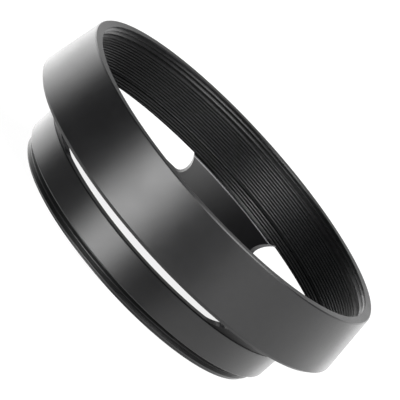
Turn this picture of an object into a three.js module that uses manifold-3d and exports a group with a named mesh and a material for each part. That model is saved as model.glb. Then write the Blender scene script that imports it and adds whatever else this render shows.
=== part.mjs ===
// Vented metal lens hood: a tapered barrel on a slotted core, on a ring with a male filter thread.
// Millimetres. The hood stands on its rear thread, +Z runs along the optical axis to the front.
import * as THREE from "three";
import { mergeVertices } from "three/addons/utils/BufferGeometryUtils.js";
import Module from "manifold-3d";

const wasm = await Module();
wasm.setup();

// Driving dimensions.
const HEIGHT = 20.15; // rear thread end to front rim
const RING_SEGMENTS = 96; // facets round every ring, a multiple of four so the box is exact
const FIT_GAP = 0.05; // clearance where one ring sits in another

// Front: a rim with a female thread for a 58 mm cap or filter.
const RIM_OUTER_R = 30.0;
const FRONT_THREAD_MINOR_R = 28.6; // 58 mm thread, 57.2 mm across its crests
const FRONT_THREAD_DEPTH = 2.28;
const BORE_R = 28.43; // crests of the light-trap ribs
const EDGE_BREAK = 0.15; // small chamfer on a machined edge

// Barrel skirt: widest just above its rear edge, with a 45 degree chamfer.
const SKIRT_R = 31.45;
const SKIRT_Z = 9.95;
const SKIRT_CHAMFER = 0.6;
const SKIRT_BORE_R = 30.39;

// Core: a ring inside the skirt, a ledge, and a cone down to the collar.
const CORE_TOP_Z = 12.27;
const LEDGE_Z = 10.26;
const LEDGE_INNER_R = 27.9;
const LEDGE_CHAMFER = 0.3;
const CONE_OUTER_TOP_R = 29.7;
const CONE_OUTER_FOOT_R = 25.45; // flush with the collar
const CONE_INNER_FOOT_Z = 6.43; // where the inside of the cone meets the clear bore
const SPIGOT_OUTER_R = 24.9;
const SPIGOT_BOTTOM_Z = 2.8;

// Three vent slots with full-round ends, milled through the cone by a cutter that points inwards.
const SLOT_COUNT = 3;
const SLOT_R = 1.8; // cutter radius, half the slot's height
const SLOT_CENTRE_Z = 8.95;
const SLOT_SWEEP = THREE.MathUtils.degToRad(75.6); // between the centres of the two round ends
const BRIDGE_TURN = THREE.MathUtils.degToRad(83.2); // first bridge, from +X towards +Y
const SLOT_END_SIDES = 32;

// Collar: the plain neck and the 49 mm male thread that screws into the lens.
const COLLAR_R = 25.45;
const COLLAR_TOP_Z = 6.97;
const COLLAR_CHAMFER = 0.15;
const CLEAR_BORE_R = 23.5;
const SHOULDER_Z = 2.02;
const SHOULDER_CHAMFER = 0.2;
const RELIEF_DEPTH = 0.12; // groove into the shoulder, so that it seats clear of the thread
const REAR_THREAD_MAJOR_R = 24.5;
const THREAD_PITCH = 0.75;
const THREAD_HEIGHT = 0.4; // crest to root, measured along the radius
const FIRST_CREST_Z = 0.5;

const profile = (...pairs) => pairs.map(([r, z]) => new THREE.Vector2(r, z));

// Closed ring: the outline runs up the outside and down the inside.
function ring(outline) {
  const geometry = new THREE.LatheGeometry([...outline, outline[0]], RING_SEGMENTS);
  return geometry.rotateX(Math.PI / 2);
}

function toSolid(geometry) {
  const bare = geometry.clone();
  bare.deleteAttribute("normal");
  bare.deleteAttribute("uv");
  const merged = mergeVertices(bare);
  const vertProperties = new Float32Array(merged.attributes.position.array);
  const triVerts = new Uint32Array(merged.index.array);
  return new wasm.Manifold(new wasm.Mesh({ numProp: 3, vertProperties, triVerts }));
}

function toGeometry(solid) {
  const { vertProperties, triVerts } = solid.getMesh();
  const geometry = new THREE.BufferGeometry();
  geometry.setAttribute("position", new THREE.BufferAttribute(vertProperties, 3));
  geometry.setIndex(new THREE.BufferAttribute(triVerts, 1));
  geometry.computeVertexNormals();
  return geometry;
}

// Ring crests and roots of a male thread, from the lead-in at the bottom up to the relief.
function maleThreadOutline(bottomZ, topZ) {
  const rootR = REAR_THREAD_MAJOR_R - THREAD_HEIGHT;
  const points = [[rootR, bottomZ]];
  for (let z = bottomZ + FIRST_CREST_Z; z + THREAD_PITCH / 2 < topZ; z += THREAD_PITCH) {
    points.push([rootR, z - THREAD_PITCH / 2], [REAR_THREAD_MAJOR_R, z]);
  }
  points.push([rootR, topZ - THREAD_PITCH / 2]);
  points.push([rootR, topZ]);
  return points;
}

function hoodBarrel() {
  const threadEndZ = HEIGHT - FRONT_THREAD_DEPTH;
  const seatZ = CORE_TOP_Z + FIT_GAP;
  return ring(profile(
    [SKIRT_R - SKIRT_CHAMFER, SKIRT_Z],
    [SKIRT_R, SKIRT_Z + SKIRT_CHAMFER],
    [RIM_OUTER_R, HEIGHT - EDGE_BREAK],
    [RIM_OUTER_R - EDGE_BREAK, HEIGHT],
    [FRONT_THREAD_MINOR_R, HEIGHT],
    [FRONT_THREAD_MINOR_R, threadEndZ],
    [BORE_R, threadEndZ],
    [BORE_R, seatZ],
    [SKIRT_BORE_R, seatZ],
    [SKIRT_BORE_R, SKIRT_Z],
  ));
}

// One slot: a ring sector as high as the cutter, with the cutter's own cylinder at each end.
function slotCutter(middleAngle) {
  const from = middleAngle - SLOT_SWEEP / 2;
  const to = middleAngle + SLOT_SWEEP / 2;
  const innerR = CLEAR_BORE_R - 1;
  const outerR = SKIRT_R + 1;
  const wedge = new THREE.Shape();
  wedge.moveTo(0, 0);
  wedge.lineTo(2 * outerR * Math.cos(from), 2 * outerR * Math.sin(from));
  wedge.lineTo(2 * outerR * Math.cos(to), 2 * outerR * Math.sin(to));
  wedge.closePath();
  const block = new THREE.ExtrudeGeometry(wedge, { depth: HEIGHT, bevelEnabled: false });
  const band = ring(profile(
    [innerR, SLOT_CENTRE_Z - SLOT_R], [outerR, SLOT_CENTRE_Z - SLOT_R],
    [outerR, SLOT_CENTRE_Z + SLOT_R], [innerR, SLOT_CENTRE_Z + SLOT_R],
  ));
  const roundEnd = (angle) =>
    new THREE.CylinderGeometry(SLOT_R, SLOT_R, outerR - innerR, SLOT_END_SIDES)
      .rotateZ(-Math.PI / 2)
      .translate((innerR + outerR) / 2, 0, SLOT_CENTRE_Z)
      .rotateZ(angle);
  const sector = toSolid(block).intersect(toSolid(band));
  return sector.add(toSolid(roundEnd(from))).add(toSolid(roundEnd(to)));
}

function ventCore() {
  const seatZ = COLLAR_TOP_Z + FIT_GAP;
  let solid = toSolid(ring(profile(
    [CLEAR_BORE_R, SPIGOT_BOTTOM_Z],
    [SPIGOT_OUTER_R, SPIGOT_BOTTOM_Z],
    [SPIGOT_OUTER_R, seatZ],
    [CONE_OUTER_FOOT_R, seatZ],
    [CONE_OUTER_TOP_R, SKIRT_Z],
    [SKIRT_BORE_R - FIT_GAP, SKIRT_Z],
    [SKIRT_BORE_R - FIT_GAP, CORE_TOP_Z],
    [BORE_R, CORE_TOP_Z],
    [BORE_R, LEDGE_Z],
    [LEDGE_INNER_R + LEDGE_CHAMFER, LEDGE_Z],
    [LEDGE_INNER_R, LEDGE_Z - LEDGE_CHAMFER],
    [CLEAR_BORE_R, CONE_INNER_FOOT_Z],
  )));
  const pitch = (2 * Math.PI) / SLOT_COUNT;
  for (let i = 0; i < SLOT_COUNT; i++) {
    solid = solid.subtract(slotCutter(BRIDGE_TURN + (i + 0.5) * pitch));
  }
  return toGeometry(solid);
}

function mountCollar() {
  const boreR = SPIGOT_OUTER_R + FIT_GAP;
  const stepZ = SPIGOT_BOTTOM_Z - FIT_GAP;
  return ring(profile(
    [CLEAR_BORE_R, 0],
    ...maleThreadOutline(0, SHOULDER_Z + RELIEF_DEPTH),
    [REAR_THREAD_MAJOR_R + FIT_GAP, SHOULDER_Z + RELIEF_DEPTH],
    [REAR_THREAD_MAJOR_R + FIT_GAP, SHOULDER_Z],
    [COLLAR_R - SHOULDER_CHAMFER, SHOULDER_Z],
    [COLLAR_R, SHOULDER_Z + SHOULDER_CHAMFER],
    [COLLAR_R, COLLAR_TOP_Z - COLLAR_CHAMFER],
    [COLLAR_R - COLLAR_CHAMFER, COLLAR_TOP_Z],
    [boreR, COLLAR_TOP_Z],
    [boreR, stepZ],
    [CLEAR_BORE_R, stepZ],
  ));
}

// Black anodised aluminium: bead-blasted outside, matt inside.
function anodised(color, roughness) {
  return new THREE.MeshStandardMaterial({ color, roughness, metalness: 0.3 });
}

const hood = new THREE.Group();
const pieces = [
  ["hood_barrel", hoodBarrel(), anodised(0x242526, 0.45)],
  ["vent_core", ventCore(), anodised(0x17181a, 0.55)],
  ["mount_collar", mountCollar(), anodised(0x222324, 0.42)],
];
for (const [name, geometry, material] of pieces) {
  const mesh = new THREE.Mesh(geometry, material);
  mesh.name = name;
  hood.add(mesh);
}

export default hood;
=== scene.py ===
"""Vented lens hood in black anodised aluminium, standing on its rear thread in soft light."""
import math
from collections import namedtuple

import bmesh
import bpy
from mathutils import Matrix, Vector


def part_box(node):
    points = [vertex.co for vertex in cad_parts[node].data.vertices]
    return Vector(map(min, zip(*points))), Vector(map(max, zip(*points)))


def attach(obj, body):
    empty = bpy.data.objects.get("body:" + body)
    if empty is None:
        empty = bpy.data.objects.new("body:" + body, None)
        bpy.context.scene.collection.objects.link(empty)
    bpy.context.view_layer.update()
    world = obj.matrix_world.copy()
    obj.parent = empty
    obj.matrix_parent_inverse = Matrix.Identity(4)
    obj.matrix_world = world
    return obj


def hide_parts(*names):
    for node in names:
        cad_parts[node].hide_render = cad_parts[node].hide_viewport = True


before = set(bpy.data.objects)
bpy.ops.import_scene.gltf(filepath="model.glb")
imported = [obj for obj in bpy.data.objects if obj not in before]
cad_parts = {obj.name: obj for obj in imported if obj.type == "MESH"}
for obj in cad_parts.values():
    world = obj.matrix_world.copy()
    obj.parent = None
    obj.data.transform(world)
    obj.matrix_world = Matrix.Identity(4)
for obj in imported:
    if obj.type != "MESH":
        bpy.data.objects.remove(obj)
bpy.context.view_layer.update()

MM = 0.001
TURN = 2 * math.pi

# ---------------------------------------------------------------- sizes
# The outer sizes come from the CAD frame's boxes. The others are the hood's own dimensions.
BARREL_LO, BARREL_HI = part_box("hood_barrel")
CORE_LO, CORE_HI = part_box("vent_core")
_, COLLAR_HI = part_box("mount_collar")

RIM_Z = BARREL_HI.z
SKIRT_Z = BARREL_LO.z
SKIRT_R = BARREL_HI.x
CORE_TOP_Z = CORE_HI.z
CORE_R = CORE_HI.x
SPIGOT_Z = CORE_LO.z
COLLAR_R = COLLAR_HI.x
COLLAR_TOP_Z = COLLAR_HI.z

FIT_GAP = 0.05 * MM
HAIR = 0.02 * MM  # keeps two neighbouring edges apart
SKIRT_CHAMFER = 0.6 * MM
SKIRT_CORNER = 0.03 * MM  # softens the corner between chamfer and taper
TAPER_SHARES = (0, 0.02, 0.98, 1)  # the close pairs keep the long face's shading flat
RIM_R = 30.0 * MM
EDGE_BREAK = 0.15 * MM
SKIRT_BORE_R = CORE_R + FIT_GAP

# Front thread, 58 x 0.75, and the finer light-trap ribs below it.
THREAD_PITCH = 0.75 * MM
THREAD_HEIGHT = 0.4 * MM
THREAD_CORNERS = ((0.0, True), (0.46, False), (0.54, False))  # share of a pitch, at the root or not
SPARE_LAPS = 2  # laps past each end of a thread, pressed flat onto that end
FRONT_MAJOR_R = 29.0 * MM
FRONT_MINOR_R = 28.6 * MM
RIM_LAND = 0.15 * MM  # plain bore between the rim and the thread
FRONT_THREAD_DEPTH = 1.95 * MM
RIB_PITCH = 0.448 * MM
RIB_HEIGHT = 0.31 * MM
RIB_CREST = 0.13 * MM  # width of the flat on each rib
BORE_R = 28.43 * MM
BARREL_RIBS = 13
CORE_RIBS = 4

# Core: ledge, cone, spigot and the vent slots.
LEDGE_Z = 10.26 * MM
LEDGE_R = 27.9 * MM
LEDGE_CHAMFER = 0.3 * MM
CONE_TOP_R = 29.7 * MM
CONE_INNER_FOOT_Z = 6.43 * MM
SPIGOT_R = 24.9 * MM
CLEAR_R = 23.5 * MM
SEAT_Z = COLLAR_TOP_Z + FIT_GAP
SLOT_COUNT = 3
SLOT_R = 1.8 * MM
SLOT_CENTRE_Z = 8.95 * MM
SLOT_SWEEP = math.radians(75.6)
BRIDGE_TURN = math.radians(83.2)

# Collar and the male rear thread, 49 x 0.75.
SHOULDER_Z = 2.02 * MM
COLLAR_CHAMFER = 0.15 * MM
SHOULDER_CHAMFER = 0.2 * MM
REAR_MAJOR_R = 24.5 * MM
REAR_RUN_OUT = 0.25 * MM  # plain length between the thread and the shoulder
REAR_PHASE = 0.45  # share of a turn that sets where the thread starts
FOOT_CHAMFER = 0.1 * MM

COLUMNS = 720  # steps round each ring
SHARP_ANGLE = math.radians(32)
WELD = 2e-7  # points closer than this become one
SLIVER = 1e-7  # edges shorter than this are dissolved
SLOT_SIDE_STEPS, SLOT_END_STEPS = 60, 16
CUTTER_OVERSHOOT = 1 * MM


# ---------------------------------------------------------------- turned rings
Thread = namedtuple("Thread", "low high pitch crest root phase")


def fixed(r, z):
    """One outline point that is the same all the way round."""
    return [(lambda turn: (r, z), 0)]


def helix(thread):
    """Crests and roots of a thread that climbs one pitch a turn and fades out at both ends."""
    per_lap = len(THREAD_CORNERS)
    laps = math.ceil((thread.high - thread.low) / thread.pitch) + 2 * SPARE_LAPS

    def point(index):
        lap, corner = divmod(index, per_lap)
        share, at_root = THREAD_CORNERS[corner]

        def place(turn):
            z = thread.low + (lap - SPARE_LAPS + share + turn + thread.phase) * thread.pitch
            z = min(max(z, thread.low), thread.high)
            room = min(z - thread.low, thread.high - z)
            r = thread.root if at_root else thread.crest
            reach = min(room, abs(thread.crest - thread.root))
            limit = thread.root + math.copysign(reach, thread.crest - thread.root)
            nearer = min if thread.crest > thread.root else max
            return nearer(r, limit), z
        return place

    return [(point(i), per_lap) for i in range(laps * per_lap)]


def mirrored(thread):
    """A thread cut in a bore, listed from the top down: it is laid out in -z and flipped."""
    flipped = []
    for place, shift in helix(thread):
        def turned(turn, place=place):
            r, z = place(turn)
            return r, -z
        flipped.append((turned, shift))
    return flipped


def ribs(top, count):
    """Plain light-trap ribs in a bore, listed from the top down, with a groove at both ends."""
    rows = fixed(BORE_R + RIB_HEIGHT, top)
    for i in range(count):
        middle = top - (i + 0.5) * RIB_PITCH
        rows += fixed(BORE_R, middle + RIB_CREST / 2)
        rows += fixed(BORE_R, middle - RIB_CREST / 2)
        rows += fixed(BORE_R + RIB_HEIGHT, middle - RIB_PITCH / 2)
    return rows


def seam_rows(rows):
    """For each row, the first-column row that it meets where the ring closes.

    A thread's row has climbed one pitch by then, so it meets the row one lap further on.
    """
    seam = list(range(len(rows)))
    start = 0
    while start < len(rows):
        shift = rows[start][1]
        end = start
        while end < len(rows) and rows[end][1] == shift:
            end += 1
        if shift:
            for i in range(start, end):
                seam[i] = min(i + shift, end - 1)
        start = end
    return seam


def ring(name, rows):
    """A closed turned ring. Rows are (place, shift).

    place gives the radius and height at a share of a turn, and shift is how many rows a thread
    climbs in one turn.
    """
    count = len(rows)
    verts = []
    for c in range(COLUMNS):
        turn = c / COLUMNS
        a = TURN * turn
        for place, _ in rows:
            r, z = place(turn)
            verts.append((r * math.cos(a), r * math.sin(a), z))

    seam = seam_rows(rows)
    faces = []
    for c in range(COLUMNS):
        here, there = c * count, ((c + 1) % COLUMNS) * count
        last = c == COLUMNS - 1
        for i in range(count):
            j = (i + 1) % count
            ti, tj = (seam[i], seam[j]) if last else (i, j)
            faces.append((here + i, there + ti, there + tj, here + j))

    mesh = bpy.data.meshes.new(name)
    mesh.from_pydata(verts, [], faces)
    bm = bmesh.new()
    bm.from_mesh(mesh)
    bmesh.ops.remove_doubles(bm, verts=bm.verts, dist=WELD)
    bmesh.ops.dissolve_degenerate(bm, edges=bm.edges, dist=SLIVER)
    loose = [v for v in bm.verts if not v.link_faces]
    bmesh.ops.delete(bm, geom=loose, context="VERTS")
    bmesh.ops.recalc_face_normals(bm, faces=bm.faces)
    bm.to_mesh(mesh)
    bm.free()
    obj = bpy.data.objects.new(name, mesh)
    bpy.context.collection.objects.link(obj)
    return obj


def smooth(obj):
    obj.data.shade_smooth()
    obj.data.set_sharp_from_angle(angle=SHARP_ANGLE)


# ---------------------------------------------------------------- pieces
def make_barrel():
    """Outer sleeve: tapered outside, rim, front thread, ribbed bore and skirt."""
    rows = fixed(SKIRT_R - SKIRT_CHAMFER, SKIRT_Z)
    rows += fixed(SKIRT_R - SKIRT_CORNER, SKIRT_Z + SKIRT_CHAMFER - SKIRT_CORNER)
    taper_low = SKIRT_Z + SKIRT_CHAMFER + SKIRT_CORNER
    taper_high = RIM_Z - EDGE_BREAK - HAIR
    for share in TAPER_SHARES:
        r = SKIRT_R + (RIM_R - SKIRT_R) * share
        rows += fixed(r, taper_low + (taper_high - taper_low) * share)
    rows += fixed(RIM_R - EDGE_BREAK, RIM_Z)
    rows += fixed(FRONT_MINOR_R, RIM_Z)
    rows += fixed(FRONT_MINOR_R, RIM_Z - RIM_LAND)
    thread_high = RIM_Z - RIM_LAND - HAIR
    thread_low = RIM_Z - FRONT_THREAD_DEPTH
    rows += mirrored(Thread(low=-thread_high, high=-thread_low, pitch=THREAD_PITCH,
                            crest=FRONT_MINOR_R, root=FRONT_MAJOR_R, phase=0.0))
    rows += ribs(CORE_TOP_Z + BARREL_RIBS * RIB_PITCH, BARREL_RIBS - 1)
    rows += fixed(BORE_R, CORE_TOP_Z + RIB_PITCH / 2)  # the lowest rib, down to the seam
    seat_z = CORE_TOP_Z + FIT_GAP
    rows += fixed(BORE_R + RIB_HEIGHT, seat_z)
    rows += fixed(SKIRT_BORE_R, seat_z)
    rows += fixed(SKIRT_BORE_R, SKIRT_Z)
    obj = ring("barrel_shell", rows)
    smooth(obj)
    return obj


def slot_outline(middle, radius):
    """The slot's outline on a cylinder: a side, a round end, the other side, the other end."""
    up = Vector((0, 0, 1))
    half = SLOT_SWEEP / 2
    points = []
    for facing in (1, -1):  # the lower side runs one way and the upper side back
        for i in range(SLOT_SIDE_STEPS + 1):
            azimuth = middle + facing * half * (2 * i / SLOT_SIDE_STEPS - 1)
            radial = Vector((math.cos(azimuth), math.sin(azimuth), 0))
            points.append(radial * radius + up * (SLOT_CENTRE_Z - facing * SLOT_R))
        end = middle + facing * half
        radial = Vector((math.cos(end), math.sin(end), 0))
        around = Vector((-math.sin(end), math.cos(end), 0)) * facing
        for i in range(1, SLOT_END_STEPS):
            a = math.pi * i / SLOT_END_STEPS
            z = SLOT_CENTRE_Z - facing * SLOT_R * math.cos(a)
            points.append(radial * radius + around * SLOT_R * math.sin(a) + up * z)
    return points


def slot_cutter(middle):
    """One vent: a cutter that points inwards, swept round the core, with full-round ends."""
    count = 2 * (SLOT_SIDE_STEPS + SLOT_END_STEPS)
    back = SLOT_SIDE_STEPS + SLOT_END_STEPS  # where the upper side starts in an outline
    verts = slot_outline(middle, CLEAR_R - CUTTER_OVERSHOOT)
    verts += slot_outline(middle, SKIRT_R + CUTTER_OVERSHOOT)
    faces = [(i, (i + 1) % count, count + (i + 1) % count, count + i) for i in range(count)]
    for base in (0, count):  # the inner and the outer cap: a strip between the sides, and two ends
        for i in range(SLOT_SIDE_STEPS):
            low, high = base + i, base + back + SLOT_SIDE_STEPS - i
            faces.append((low, low + 1, high - 1, high))
        faces.append(tuple(base + i for i in range(SLOT_SIDE_STEPS, back + 1)))
        faces.append(tuple(base + i % count for i in range(back + SLOT_SIDE_STEPS, count + 1)))
    mesh = bpy.data.meshes.new("slot_cutter")
    mesh.from_pydata(verts, [], faces)
    bm = bmesh.new()
    bm.from_mesh(mesh)
    bmesh.ops.recalc_face_normals(bm, faces=bm.faces)
    bm.to_mesh(mesh)
    bm.free()
    obj = bpy.data.objects.new("slot_cutter", mesh)
    bpy.context.collection.objects.link(obj)
    return obj


def cut(obj, cutter):
    """Subtracts the cutter from the object and removes the cutter."""
    modifier = obj.modifiers.new("cut", "BOOLEAN")
    modifier.operation = "DIFFERENCE"
    modifier.solver = "EXACT"
    modifier.object = cutter
    graph = bpy.context.evaluated_depsgraph_get()
    result = bpy.data.meshes.new_from_object(obj.evaluated_get(graph))
    obj.modifiers.clear()
    obj.data = result
    bpy.data.objects.remove(cutter)


def make_core():
    """Slotted ring inside the skirt, with the last ribs, the ledge, the cone and the spigot."""
    rows = fixed(CLEAR_R, SPIGOT_Z)
    rows += fixed(SPIGOT_R, SPIGOT_Z)
    rows += fixed(SPIGOT_R, SEAT_Z)
    rows += fixed(COLLAR_R, SEAT_Z)
    rows += fixed(CONE_TOP_R, SKIRT_Z)
    rows += fixed(CORE_R, SKIRT_Z)
    rows += fixed(CORE_R, CORE_TOP_Z)
    rows += ribs(CORE_TOP_Z, CORE_RIBS)
    rows += fixed(BORE_R + RIB_HEIGHT, LEDGE_Z)
    rows += fixed(LEDGE_R + LEDGE_CHAMFER, LEDGE_Z)
    rows += fixed(LEDGE_R, LEDGE_Z - LEDGE_CHAMFER)
    rows += fixed(CLEAR_R, CONE_INNER_FOOT_Z)
    obj = ring("vent_ring", rows)
    pitch = TURN / SLOT_COUNT
    for i in range(SLOT_COUNT):
        cut(obj, slot_cutter(BRIDGE_TURN + (i + 0.5) * pitch))
    smooth(obj)
    return obj


def make_collar():
    """Neck with the male thread that screws into the lens."""
    bore_r = SPIGOT_R + FIT_GAP
    step_z = SPIGOT_Z - FIT_GAP
    root_r = REAR_MAJOR_R - THREAD_HEIGHT
    rows = fixed(CLEAR_R + FOOT_CHAMFER, 0)
    rows += fixed(root_r, 0)
    rows += helix(Thread(low=HAIR, high=SHOULDER_Z - REAR_RUN_OUT, pitch=THREAD_PITCH,
                         crest=REAR_MAJOR_R, root=root_r, phase=REAR_PHASE))
    rows += fixed(root_r, SHOULDER_Z)
    rows += fixed(COLLAR_R - SHOULDER_CHAMFER, SHOULDER_Z)
    rows += fixed(COLLAR_R, SHOULDER_Z + SHOULDER_CHAMFER)
    rows += fixed(COLLAR_R, COLLAR_TOP_Z - COLLAR_CHAMFER)
    rows += fixed(COLLAR_R - COLLAR_CHAMFER, COLLAR_TOP_Z)
    rows += fixed(bore_r, COLLAR_TOP_Z)
    rows += fixed(bore_r, step_z)
    rows += fixed(CLEAR_R, step_z)
    rows += fixed(CLEAR_R, FOOT_CHAMFER)
    obj = ring("threaded_collar", rows)
    smooth(obj)
    return obj


# ---------------------------------------------------------------- materials
NOISE_LOW, NOISE_HIGH = 0.3, 0.7  # most of the noise lies between these
DYE_SCALE = 900.0  # noise scales, per metre
CLOUD_SCALE = 120.0
LEDGE_HIGHLIGHT_SCALE = 200.0
GRAIN_SCALE = 9000.0
GRAIN_DEPTH = 0.02 * MM

DYE_DARK = (0.003, 0.003, 0.0032)
DYE_LIGHT = (0.005, 0.005, 0.0054)
DYE_LIGHT_INSIDE = (0.004, 0.004, 0.0044)
# painted highlight: this light metal colour on the ledge's edge stands in for the light that edge
# catches
LEDGE_HIGHLIGHT_COLOR = (0.14, 0.14, 0.143)
LEDGE_HIGHLIGHT_WIDTH = 0.11 * MM  # half the width of the painted highlight band on the ledge's edge
LEDGE_HIGHLIGHT_LEAST = 0.6  # share of the light metal colour where the painted highlight band is weakest
QUARTER_TURN = 0.25  # turns the stretched highlight from along the ring to across it


def new_material(name):
    material = bpy.data.materials.new(name)
    material.use_nodes = True
    tree = material.node_tree
    tree.nodes.clear()
    out = tree.nodes.new("ShaderNodeOutputMaterial")
    shader = tree.nodes.new("ShaderNodeBsdfPrincipled")
    tree.links.new(shader.outputs["BSDF"], out.inputs["Surface"])
    return material, tree, shader


def noise(tree, coords, scale, detail=3.0):
    node = tree.nodes.new("ShaderNodeTexNoise")
    node.inputs["Scale"].default_value = scale
    node.inputs["Detail"].default_value = detail
    node.inputs["Roughness"].default_value = 0.55
    tree.links.new(coords, node.inputs["Vector"])
    return node.outputs["Fac"]


def remap(tree, value, low, high):
    """Spreads a noise over the range from low to high."""
    node = tree.nodes.new("ShaderNodeMapRange")
    node.inputs["From Min"].default_value = NOISE_LOW
    node.inputs["From Max"].default_value = NOISE_HIGH
    node.inputs["To Min"].default_value = low
    node.inputs["To Max"].default_value = high
    tree.links.new(value, node.inputs["Value"])
    return node.outputs["Result"]


def blend(tree, factor):
    """A colour mix whose A and B the caller fills in."""
    node = tree.nodes.new("ShaderNodeMix")
    node.data_type = "RGBA"
    tree.links.new(factor, node.inputs["Factor"])
    return node


def painted_edge_highlight(tree, coords, height):
    """Share of light metal colour: a painted highlight band round the piece at this height, uneven
    along it.
    """
    split = tree.nodes.new("ShaderNodeSeparateXYZ")
    tree.links.new(coords, split.inputs["Vector"])
    away = tree.nodes.new("ShaderNodeMath")
    away.operation = "SUBTRACT"
    tree.links.new(split.outputs["Z"], away.inputs[0])
    away.inputs[1].default_value = height
    size = tree.nodes.new("ShaderNodeMath")
    size.operation = "ABSOLUTE"
    tree.links.new(away.outputs["Value"], size.inputs[0])
    band = tree.nodes.new("ShaderNodeMapRange")
    band.inputs["From Min"].default_value = LEDGE_HIGHLIGHT_WIDTH
    band.inputs["From Max"].default_value = LEDGE_HIGHLIGHT_WIDTH / 3
    tree.links.new(size.outputs["Value"], band.inputs["Value"])
    uneven = tree.nodes.new("ShaderNodeMath")
    uneven.operation = "MULTIPLY"
    tree.links.new(band.outputs["Result"], uneven.inputs[0])
    patches = remap(tree, noise(tree, coords, LEDGE_HIGHLIGHT_SCALE), LEDGE_HIGHLIGHT_LEAST, 1.0)
    tree.links.new(patches, uneven.inputs[1])
    return uneven.outputs["Value"]


def anodised(name, light, rough, grain, specular=0.5, turned=0.7, highlight_z=None):
    """Black anodised aluminium.

    It has turning marks, a fine grain, a cloudy gloss between the two ends of rough, a dye that
    varies up to light, and a painted highlight: a band of light metal colour on the edge at the
    given height.
    """
    material, tree, shader = new_material(name)
    coords = tree.nodes.new("ShaderNodeTexCoord").outputs["Object"]

    dye = blend(tree, remap(tree, noise(tree, coords, DYE_SCALE, detail=4.0), 0.0, 1.0))
    dye.inputs["A"].default_value = (*DYE_DARK, 1)
    dye.inputs["B"].default_value = (*light, 1)
    color = dye.outputs["Result"]
    # painted highlight: a light metal colour mixed in round one edge
    if highlight_z is not None:
        painted_highlight = blend(tree, painted_edge_highlight(tree, coords, highlight_z))
        tree.links.new(color, painted_highlight.inputs["A"])
        painted_highlight.inputs["B"].default_value = (*LEDGE_HIGHLIGHT_COLOR, 1)
        color = painted_highlight.outputs["Result"]
    tree.links.new(color, shader.inputs["Base Color"])

    cloud = noise(tree, coords, CLOUD_SCALE)
    tree.links.new(remap(tree, cloud, *rough), shader.inputs["Roughness"])

    bump = tree.nodes.new("ShaderNodeBump")
    bump.inputs["Strength"].default_value = grain
    bump.inputs["Distance"].default_value = GRAIN_DEPTH
    tree.links.new(noise(tree, coords, GRAIN_SCALE, detail=2.0), bump.inputs["Height"])
    tree.links.new(bump.outputs["Normal"], shader.inputs["Normal"])

    tangent = tree.nodes.new("ShaderNodeTangent")
    tangent.direction_type = "RADIAL"
    tangent.axis = "Z"
    tree.links.new(tangent.outputs["Tangent"], shader.inputs["Tangent"])
    shader.inputs["Anisotropic"].default_value = turned
    shader.inputs["Anisotropic Rotation"].default_value = QUARTER_TURN
    shader.inputs["Specular IOR Level"].default_value = specular
    return material


def finish_piece(obj, node, material):
    obj.data.materials.clear()
    obj.data.materials.append(material)
    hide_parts(node)
    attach(obj, "root")


# ---------------------------------------------------------------- studio
TARGET = Vector((-0.26, 0.0, 12.87)) * MM
CAMERA_DISTANCE = 435.1 * MM
CAMERA_RISE = math.radians(14.15)
CAMERA_ROLL = math.radians(48.1)
LENS_MM = 259.7
SENSOR_MM = 36.0

TABLE_R = 4.0
TABLE_GLOW = 0.96
SHADE_LIFT = 0.01 * MM  # the disc inside the hood lies this far above the table
SHADE_GLOW = 0.76
DISC_SIDES = 96


def make_camera():
    """Long lens, a little above the hood, rolled so that the hood leans as if held up."""
    back = Vector((0, -math.cos(CAMERA_RISE), math.sin(CAMERA_RISE)))
    right = Vector((1, 0, 0))
    up = back.cross(right)
    turned_right = right * math.cos(CAMERA_ROLL) + up * math.sin(CAMERA_ROLL)
    turned_up = up * math.cos(CAMERA_ROLL) - right * math.sin(CAMERA_ROLL)
    data = bpy.data.cameras.new("camera")
    data.lens = LENS_MM
    data.sensor_width = SENSOR_MM
    data.clip_start = 0.01
    data.clip_end = 50.0
    obj = bpy.data.objects.new("camera", data)
    rotation = Matrix((turned_right, turned_up, back)).transposed()
    obj.matrix_world = Matrix.Translation(TARGET + back * CAMERA_DISTANCE) @ rotation.to_4x4()
    bpy.context.collection.objects.link(obj)
    bpy.context.scene.camera = obj


def make_disc(name, radius, z, glow):
    """A flat white disc that glows for the camera and adds nothing to the light on the hood."""
    mesh = bpy.data.meshes.new(name)
    rim = []
    for i in range(DISC_SIDES):
        a = TURN * i / DISC_SIDES
        rim.append((radius * math.cos(a), radius * math.sin(a), z))
    mesh.from_pydata(rim, [], [tuple(range(DISC_SIDES))])
    disc = bpy.data.objects.new(name, mesh)
    bpy.context.collection.objects.link(disc)
    material, tree, shader = new_material(name)
    shader.inputs["Base Color"].default_value = (0.1, 0.1, 0.1, 1)
    shader.inputs["Roughness"].default_value = 0.9
    shader.inputs["Specular IOR Level"].default_value = 0.0
    shader.inputs["Emission Color"].default_value = (1, 1, 1, 1)
    shader.inputs["Emission Strength"].default_value = glow
    mesh.materials.append(material)
    disc.visible_glossy = False
    disc.visible_shadow = False
    disc.visible_diffuse = False


# Soft panels round the hood, in degrees. Azimuths run from the camera side towards +X. A panel
# fades out over its edge, from half_width - edge to half_width + edge off its middle.
Panel = namedtuple("Panel", "azimuth half_width edge radiance")
PANELS = (
    Panel(-25, 15, 11, 15.5),  # narrow key beside the camera
    Panel(95, 62, 14, 2.0),  # wide fill to the right
    Panel(-139, 30, 12, 4.0),  # wide, behind to the left
    Panel(164, 14, 10, 2.1),  # narrow and weak, behind
)
PANEL_TOP = 25  # the panels reach from this rise down to PANEL_BOTTOM
PANEL_BOTTOM = -26
PANEL_BLUR = 6  # the panels' top and bottom fade out over this much on both sides
UNDER_LIGHT = 0.9  # what the table throws back from below
AMBIENT = 0.04  # between the panels

# Round overhead lamp, to the right: full strength within OVERHEAD_CORE of its middle, none
# beyond OVERHEAD_EDGE.
OVERHEAD_AZIMUTH, OVERHEAD_RISE = 50, 58
OVERHEAD_CORE, OVERHEAD_EDGE = 8, 34
OVERHEAD_RADIANCE = 13.0


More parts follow.
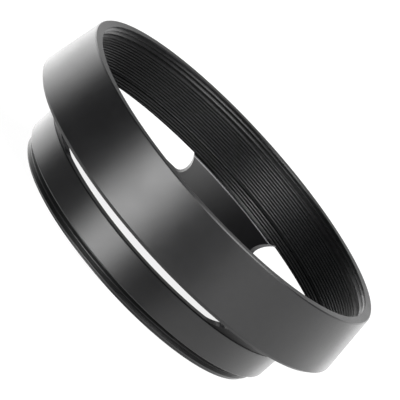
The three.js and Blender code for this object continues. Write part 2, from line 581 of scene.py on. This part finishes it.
def make_world():
    """A light tent: soft upright panels, a round overhead lamp and weak light from below."""
    world = bpy.data.worlds.new("light_tent")
    world.use_nodes = True
    tree = world.node_tree
    tree.nodes.clear()
    out = tree.nodes.new("ShaderNodeOutputWorld")
    coords = tree.nodes.new("ShaderNodeTexCoord").outputs["Generated"]
    split = tree.nodes.new("ShaderNodeSeparateXYZ")
    tree.links.new(coords, split.inputs["Vector"])

    def math_node(kind, a, b=None):
        """One step of arithmetic; a and b are sockets or numbers."""
        node = tree.nodes.new("ShaderNodeMath")
        node.operation = kind
        for socket, value in zip(node.inputs, (a, b)):
            if value is None:
                continue
            if isinstance(value, (int, float)):
                socket.default_value = value
            else:
                tree.links.new(value, socket)
        return node.outputs["Value"]

    def fade(value, dark_at, bright_at, radiance):
        """A soft step from nothing to radiance, between two angles in degrees."""
        node = tree.nodes.new("ShaderNodeMapRange")
        node.interpolation_type = "SMOOTHSTEP"
        node.inputs["From Min"].default_value = math.radians(dark_at)
        node.inputs["From Max"].default_value = math.radians(bright_at)
        node.inputs["To Max"].default_value = radiance
        tree.links.new(value, node.inputs["Value"])
        return node.outputs["Result"]

    minus_y = math_node("MULTIPLY", split.outputs["Y"], -1.0)
    azimuth = math_node("ARCTAN2", split.outputs["X"], minus_y)

    def glow(panel):
        away = math_node("SUBTRACT", azimuth, math.radians(panel.azimuth))
        wrapped = math_node("ARCTAN2", math_node("SINE", away), math_node("COSINE", away))
        off_middle = math_node("ABSOLUTE", wrapped)
        dark_at = panel.half_width + panel.edge
        bright_at = panel.half_width - panel.edge
        return fade(off_middle, dark_at, bright_at, panel.radiance)

    lamp = tree.nodes.new("ShaderNodeVectorMath")
    lamp.operation = "DOT_PRODUCT"
    tree.links.new(coords, lamp.inputs[0])
    az, up = math.radians(OVERHEAD_AZIMUTH), math.radians(OVERHEAD_RISE)
    flat = math.cos(up)
    lamp.inputs[1].default_value = (math.sin(az) * flat, -math.cos(az) * flat, math.sin(up))
    off_lamp = math_node("ARCCOSINE", lamp.outputs["Value"])
    overhead = fade(off_lamp, OVERHEAD_EDGE, OVERHEAD_CORE, OVERHEAD_RADIANCE)

    rise = math_node("ARCSINE", split.outputs["Z"])
    above = fade(rise, PANEL_TOP - PANEL_BLUR, PANEL_TOP + PANEL_BLUR, 1.0)
    below = fade(rise, PANEL_BOTTOM + PANEL_BLUR, PANEL_BOTTOM - PANEL_BLUR, 1.0)
    between = math_node("SUBTRACT", math_node("SUBTRACT", 1.0, above), below)
    panels = AMBIENT
    for panel in PANELS:
        panels = math_node("ADD", glow(panel), panels)
    strength = math_node("MULTIPLY", panels, between)
    strength = math_node("ADD", strength, overhead)
    strength = math_node("ADD", strength, math_node("MULTIPLY", below, UNDER_LIGHT))

    # The camera sees plain white behind the hood; only the hood sees the panels.
    light = tree.nodes.new("ShaderNodeBackground")
    tree.links.new(strength, light.inputs["Strength"])
    white = tree.nodes.new("ShaderNodeBackground")
    white.inputs["Strength"].default_value = 1.0
    path = tree.nodes.new("ShaderNodeLightPath")
    mix = tree.nodes.new("ShaderNodeMixShader")
    tree.links.new(path.outputs["Is Camera Ray"], mix.inputs["Fac"])
    tree.links.new(light.outputs["Background"], mix.inputs[1])
    tree.links.new(white.outputs["Background"], mix.inputs[2])
    tree.links.new(mix.outputs["Shader"], out.inputs["Surface"])
    bpy.context.scene.world = world


# ---------------------------------------------------------------- build
make_camera()
make_disc("white_table", TABLE_R, 0, TABLE_GLOW)
make_disc("shade_inside_hood", CLEAR_R, SHADE_LIFT, SHADE_GLOW)
make_world()
bpy.context.scene.view_settings.view_transform = "Standard"

outside = anodised("black_anodised_barrel", DYE_LIGHT, rough=(0.35, 0.42), grain=0.5)
# the core's ledge edge gets a painted highlight, a band of light metal colour
inside = anodised("black_anodised_core", DYE_LIGHT_INSIDE, rough=(0.31, 0.35), grain=0.3,
                  specular=0.25, turned=0.2, highlight_z=LEDGE_Z - LEDGE_CHAMFER / 2)
neck = anodised("black_anodised_collar", DYE_LIGHT, rough=(0.34, 0.40), grain=0.5)

core = make_core()
finish_piece(make_barrel(), "hood_barrel", outside)
finish_piece(core, "vent_core", inside)

# Above its ledge the core has the barrel's finish, because its ribs carry on from the barrel's.
core.data.materials.append(outside)
for face in core.data.polygons:
    if face.center.z > LEDGE_Z + HAIR:
        face.material_index = 1

finish_piece(make_collar(), "mount_collar", neck)
